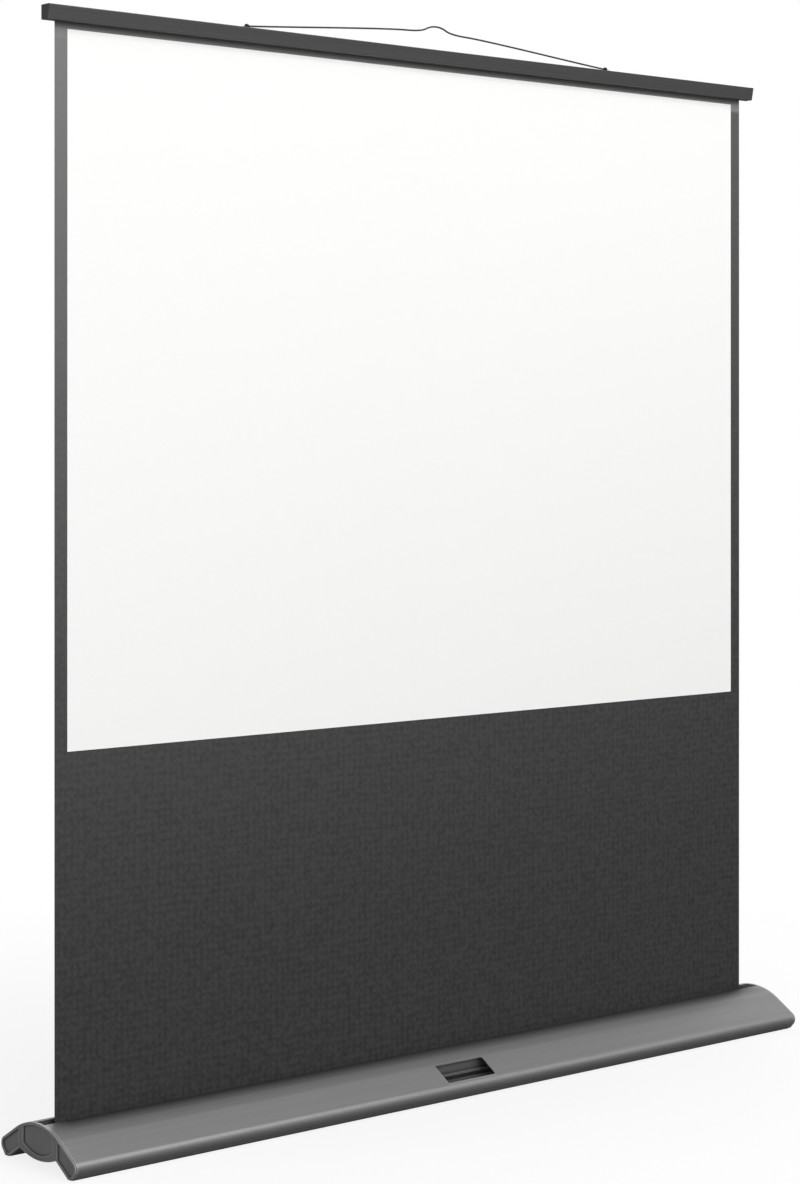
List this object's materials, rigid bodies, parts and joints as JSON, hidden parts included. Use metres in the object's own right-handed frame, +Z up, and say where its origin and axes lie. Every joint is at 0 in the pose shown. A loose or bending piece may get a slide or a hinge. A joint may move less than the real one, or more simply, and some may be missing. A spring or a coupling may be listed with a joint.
{
  "type": "projection screen",
  "caption": "Floor-standing pull-up projection screen: spring roller in a winged aluminium base, taut cloth with a white 4:3 picture, top slat with wire hanger, folding telescopic mast.",
  "frame": {"origin": "middle of the base's footprint, on the floor", "axes": "+X along the base to the viewer's right, +Y rearward away from the viewer, +Z up"},
  "size_m": [1.724, 0.2266, 1.9605],
  "materials": {
    "base_aluminium": "satin anodised, dark grey",
    "slat_aluminium": "satin anodised, dark grey",
    "mast_aluminium": "drawn tube, natural anodised",
    "cap_plastic": "moulded, fine texture",
    "bearing_plastic": "natural nylon",
    "foot_rubber": "matte",
    "zinc_steel": "bright zinc plated",
    "roller_steel": "plain rolled tube",
    "spring_steel": "oiled spring steel",
    "wire_steel": "black coated wire",
    "cast_metal": "black powder coat on die casting",
    "black_cloth": "matte woven glass-fibre cloth",
    "white_surface": "matte white projection coating"
  },
  "bodies": {
    "base": {"base_housing": "base_aluminium", "end_cap_left": "cap_plastic", "end_cap_right": "cap_plastic", "foot_strip_front": "foot_rubber", "foot_strip_rear": "foot_rubber", "spring_shaft": "zinc_steel", "torsion_spring": "spring_steel", "mast_bracket": "cast_metal", "mast_pivot_pin": "zinc_steel", "mast_cradle": "cap_plastic", "screen_fabric": "black_cloth", "image_surface": "white_surface"},
    "roller": {"roller_tube": "roller_steel", "roller_plug_left": "bearing_plastic", "roller_gudgeon": "zinc_steel", "roller_plug_right": "bearing_plastic", "fabric_wraps": "black_cloth"},
    "slat": {"top_slat": "slat_aluminium", "slat_cap_left": "cap_plastic", "slat_cap_right": "cap_plastic", "fabric_keder": "bearing_plastic", "wire_eye_left": "zinc_steel", "wire_eye_right": "zinc_steel", "mast_catch": "zinc_steel"},
    "hanger": {"hanger_wire": "wire_steel"},
    "mast_lower": {"mast_foot": "cast_metal", "mast_tube_lower": "mast_aluminium", "clamp_collar_lower": "cap_plastic", "clamp_pin_lower": "zinc_steel"},
    "lever_lower": {"clamp_lever_lower": "cap_plastic"},
    "mast_mid": {"mast_bush_mid": "bearing_plastic", "mast_tube_mid": "mast_aluminium", "clamp_collar_upper": "cap_plastic", "clamp_pin_upper": "zinc_steel"},
    "lever_upper": {"clamp_lever_upper": "cap_plastic"},
    "mast_top": {"mast_bush_top": "bearing_plastic", "mast_tube_top": "mast_aluminium", "mast_head": "cap_plastic"}
  },
  "joints": [
    {"name": "slat_lift", "type": "slide", "parent": "base", "child": "slat", "axis": [0, 0, 1], "range_m": [-1.8275, 0], "deforming": ["screen_fabric", "image_surface"]},
    {"name": "roller_spin", "type": "hinge", "parent": "base", "child": "roller", "pos_m": [0, -0.00985, 0.039], "axis": [1, 0, 0], "range_deg": [-5500, 0]},
    {"name": "hanger_fold", "type": "hinge", "parent": "slat", "child": "hanger", "pos_m": [0, -0.001, 1.918], "axis": [1, 0, 0], "range_deg": [0, 90]},
    {"name": "mast_tilt", "type": "hinge", "parent": "base", "child": "mast_lower", "pos_m": [0, 0.03, 0.09], "axis": [0, 1, 0], "range_deg": [0, 90]},
    {"name": "mast_mid_slide", "type": "slide", "parent": "mast_lower", "child": "mast_mid", "axis": [0, 0, 1], "range_m": [-0.52, 0]},
    {"name": "mast_top_slide", "type": "slide", "parent": "mast_mid", "child": "mast_top", "axis": [0, 0, 1], "range_m": [-0.52, 0]},
    {"name": "clamp_lower_turn", "type": "hinge", "parent": "mast_lower", "child": "lever_lower", "pos_m": [0, 0.0482, 0.788], "axis": [1, 0, 0], "range_deg": [0, 100]},
    {"name": "clamp_upper_turn", "type": "hinge", "parent": "mast_mid", "child": "lever_upper", "pos_m": [0, 0.0464, 1.358], "axis": [1, 0, 0], "range_deg": [0, 100]}
  ],
  "couplings": [
    {"joint": "roller_spin", "follows": "slat_lift", "rad_per_m": 52.5}
  ]
}
